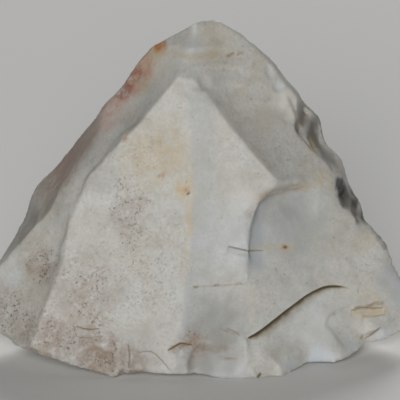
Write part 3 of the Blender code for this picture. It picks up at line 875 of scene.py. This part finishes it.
# White-patinated flint: glassy stone whose weathered skin has turned matt, chalky white,
# so it shows soft even light, faint cream clouding and hardly any shine. Iron and earth
# have stained it, and where a late chip broke the skin the dark stone inside is glossy.
# Some layers also carry painted shade in hollows and on faces turned from the light,
# and painted light on faces that turn from the lamps.
patina = {
    "colours": {
        "skin": "#d1d1cc",
        "skinWarm": "#c9c3b6",
        "skinCool": "#c2c4c2",
        "skinDull": "#b4afa4",
        "cloud": "#b5b1a6",
        "freckle": "#9c8f74",
        # greyer patina, also used as painted shade
        "grey": "#aeb2b2",
        # duller flint on the sides, with painted shade
        "dullFlintAndShade": "#7f7a72",
        # painted shade, and the dark grey flint of the right flank
        "shade": "#4e4b47",
        "ochre": "#c9ae78",
        # purple-brown staining, also used as painted shade
        "wash": "#9a897c",
        "iron": "#b9722a",
        "pink": "#c39a8a",
        "rust": "#96563f",
        "tan": "#8d7050",
        "dapple": "#a2907f",
        "specks": "#6d5a50",
        "blue": "#ccd5df",
        # whiter patina, also used as painted light
        "chalkAndLight": "#e6e4dc",
        "soil": "#7d6c45",
        # dark earth in the cracks, with painted shade of the gap
        "darkSoilAndShade": "#544731",
        "fresh": "#37332f",
        "edge": "#d8d8d4",
    },
    # size in mm, detail, roughness, distortion, and the range that is spread to 0..1
    "patterns": {
        "warm": (6.0, 4.0, 0.5, 0.0, 0.35, 0.7),
        "cloud": (3.0, 5.0, 0.6, 0.6, 0.48, 0.72),
        "mottle": (1.1, 4.0, 0.6, 0.0, 0.45, 0.75),
        "blotch": (1.3, 4.0, 0.65, 0.3, 0.28, 0.6),
        "fine": (0.5, 3.0, 0.6, 0.0, 0.42, 0.75),
        "speck": (0.42, 2.0, 0.5, 0.0, 0.56, 0.68),   # about one manganese speck
        "dapple": (0.8, 5.0, 0.75, 0.0, 0.5, 0.64),
        "clump": (2.0, 3.0, 0.5, 0.5, 0.38, 0.56),
        "freckle": (0.7, 2.0, 0.5, 0.0, 0.66, 0.74),
    },
    # from the skin upwards: the colour, the place mask, the patterns and how strong it is
    "layers": [
        ("skinWarm", None, ("warm",), 1.0),
        ("cloud", None, ("cloud",), 0.8),
        ("skinCool", None, ("mottle",), 0.7),
        ("skinDull", None, ("fine",), 0.6),
        ("freckle", None, ("freckle",), 0.5),
        # greyer patina, also used as painted shade
        ("grey", "grey", (), 1.0),
        # duller flint on the sides, with painted shade
        ("dullFlintAndShade", "dullFlintAndShade", (), 1.0),
        # painted shade, and the dark grey flint of the right flank
        ("shade", "shade", (), 1.0),
        ("ochre", "ochre", ("blotch",), 1.0),
        # purple-brown staining, also used as painted shade
        ("wash", "wash", ("blotch",), 1.0),
        ("pink", "pink", ("blotch",), 1.0),
        ("rust", "rust", ("blotch",), 1.0),
        ("tan", "tan", ("blotch",), 1.0),
        # whiter patina, also used as painted light
        ("chalkAndLight", "chalkAndLight", (), 1.0),
        ("blue", "blue", (), 1.0),
        ("dapple", "specks", ("dapple",), 0.75),
        ("specks", "specks", ("speck", "clump"), 1.0),
        ("iron", "iron", (), 1.0),
        ("edge", "edge", (), 0.3),
        ("soil", "soil", (), 1.0),
        # dark earth in the cracks, with painted shade of the gap
        ("darkSoilAndShade", "darkSoilAndShade", (), 1.0),
        ("fresh", "fresh", (), 1.0),
    ],
    "roughness": 0.52,
    "freshRoughness": 0.22,
    "grain": 0.25,          # mm, the chalky grain of the skin; the real one is finer
    "grainHeight": 0.008,
}


def paintFlint(item):
    material = bpy.data.materials.new("patinated_flint")
    material.use_nodes = True
    tree = material.node_tree
    shader = tree.nodes["Principled BSDF"]
    place = addNode(tree, "ShaderNodeTexCoord").outputs["Object"]
    shares = {}
    for name, (size, detail, rough, distortion, low, high) in patina["patterns"].items():
        cloud = addNode(tree, "ShaderNodeTexNoise", {
            "Vector": place, "Scale": 1.0 / (size * mm), "Detail": detail,
            "Roughness": rough, "Distortion": distortion})
        spread = addNode(tree, "ShaderNodeMapRange", {
            "Value": cloud.outputs["Fac"], "From Min": low, "From Max": high})
        shares[name] = spread.outputs["Result"]
    masks = {}
    colour = linear(patina["colours"]["skin"])
    for name, mask, patterns, strength in patina["layers"]:
        share = strength
        factors = [shares[pattern] for pattern in patterns]
        if mask:
            masks[mask] = addNode(tree, "ShaderNodeAttribute", attribute_name=mask).outputs["Fac"]
            factors.append(masks[mask])
        for factor in factors:
            share = addNode(tree, "ShaderNodeMath", {0: share, 1: factor}, operation="MULTIPLY").outputs[0]
        mixed = addNode(tree, "ShaderNodeMix", {
            0: share, 6: colour, 7: linear(patina["colours"][name])}, data_type="RGBA")
        colour = mixed.outputs[2]
    tree.links.new(colour, shader.inputs["Base Color"])
    rough = addNode(tree, "ShaderNodeMapRange", {
        "Value": masks["fresh"], "To Min": patina["roughness"], "To Max": patina["freshRoughness"]})
    tree.links.new(rough.outputs["Result"], shader.inputs["Roughness"])
    shader.inputs["IOR"].default_value = 1.54
    grain = addNode(tree, "ShaderNodeTexNoise", {
        "Vector": place, "Scale": 1.0 / (patina["grain"] * mm), "Detail": 3.0, "Roughness": 0.6})
    bump = addNode(tree, "ShaderNodeBump", {
        "Height": grain.outputs["Fac"], "Distance": patina["grainHeight"] * mm})
    tree.links.new(bump.outputs["Normal"], shader.inputs["Normal"])
    item.data.materials.clear()
    item.data.materials.append(material)


print("merging a copy of the solid")
flint = plainCore()
pullPlaces(flint)
print("smoothing the scars")
ridges = findRidges(flint.data)
evenMesh(flint, ridges, core["baseSize"])
softenFaces(flint, ridges)
wearRidges(flint, 1.0)
print("flaking off the small chips")
lens = flakeOffChips(flint)
print("remaking the surface as a fine even mesh")
ridges = findRidges(flint.data)
evenMesh(flint, ridges, core["faceSize"])
easeSpikes(flint)
smoothBy(flint, np.ones(len(flint.data.vertices)), core["ridgeRounds"], 0.3)
wearRidges(flint, 0.25)
wearTip(flint)
refineLines(flint, lens)
print("carving cracks, steps and ripples")
soil = carve(flint, ridges)
# stains and bare stone, with painted shade and painted light
print("laying the stains")
stainShadeAndLightMasks(flint, ridges, soil, lens)
paintFlint(flint)
for polygon in flint.data.polygons:
    polygon.use_smooth = True
print("core:", len(flint.data.vertices), "points", sum(len(p.vertices) - 2 for p in flint.data.polygons), "triangles")

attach(flint, "root")
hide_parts("flint_core")

# a plain pale floor, a big soft light above the camera and a dim even room
studio = {
    "floor": "#ecebe8",
    "floorSize": 3.0,         # metres
    "target": (0.4, -8.6, 28.2),
    "distance": 600.0,        # mm
    "elevation": 20.0,
    "lens": 327.0,
    "lights": (               # name, place and size in metres, watts
        ("key", (-0.15, -1.5, 0.66), 0.8, 15.5),
        ("back", (0.3, 1.6, 1.15), 1.0, 18.0),
    ),
    "room": 0.05,
}


def setStudio():
    shape = bmesh.new()
    bmesh.ops.create_grid(shape, x_segments=1, y_segments=1, size=studio["floorSize"] / 2)
    floor = newObject("floor", shape)
    paint = bpy.data.materials.new("floor_paint")
    paint.use_nodes = True
    paint.node_tree.nodes["Principled BSDF"].inputs["Base Color"].default_value = linear(studio["floor"])
    paint.node_tree.nodes["Principled BSDF"].inputs["Roughness"].default_value = 0.9
    floor.data.materials.append(paint)

    target = Vector(studio["target"]) * mm
    tilt = math.radians(studio["elevation"])
    lens = bpy.data.cameras.new("camera")
    lens.lens = studio["lens"]
    lens.sensor_width = 36.0
    lens.clip_start = 0.01
    camera = bpy.data.objects.new("camera", lens)
    bpy.context.scene.collection.objects.link(camera)
    camera.location = target + Vector((0, -math.cos(tilt), math.sin(tilt))) * studio["distance"] * mm
    camera.rotation_euler = (math.radians(90 - studio["elevation"]), 0, 0)
    bpy.context.scene.camera = camera

    for name, place, size, power in studio["lights"]:
        light = bpy.data.lights.new(name, "AREA")
        light.shape = "DISK"
        light.size = size
        light.energy = power
        lamp = bpy.data.objects.new(name, light)
        bpy.context.scene.collection.objects.link(lamp)
        lamp.location = place
        lamp.rotation_euler = (target - Vector(place)).to_track_quat("-Z", "Y").to_euler()

    room = bpy.data.worlds.new("room")
    room.use_nodes = True
    room.node_tree.nodes["Background"].inputs["Color"].default_value = linear("#dfe2e6")
    room.node_tree.nodes["Background"].inputs["Strength"].default_value = studio["room"]
    bpy.context.scene.world = room
    bpy.context.scene.view_settings.view_transform = "Standard"


print("setting the floor, lights and camera")
setStudio()
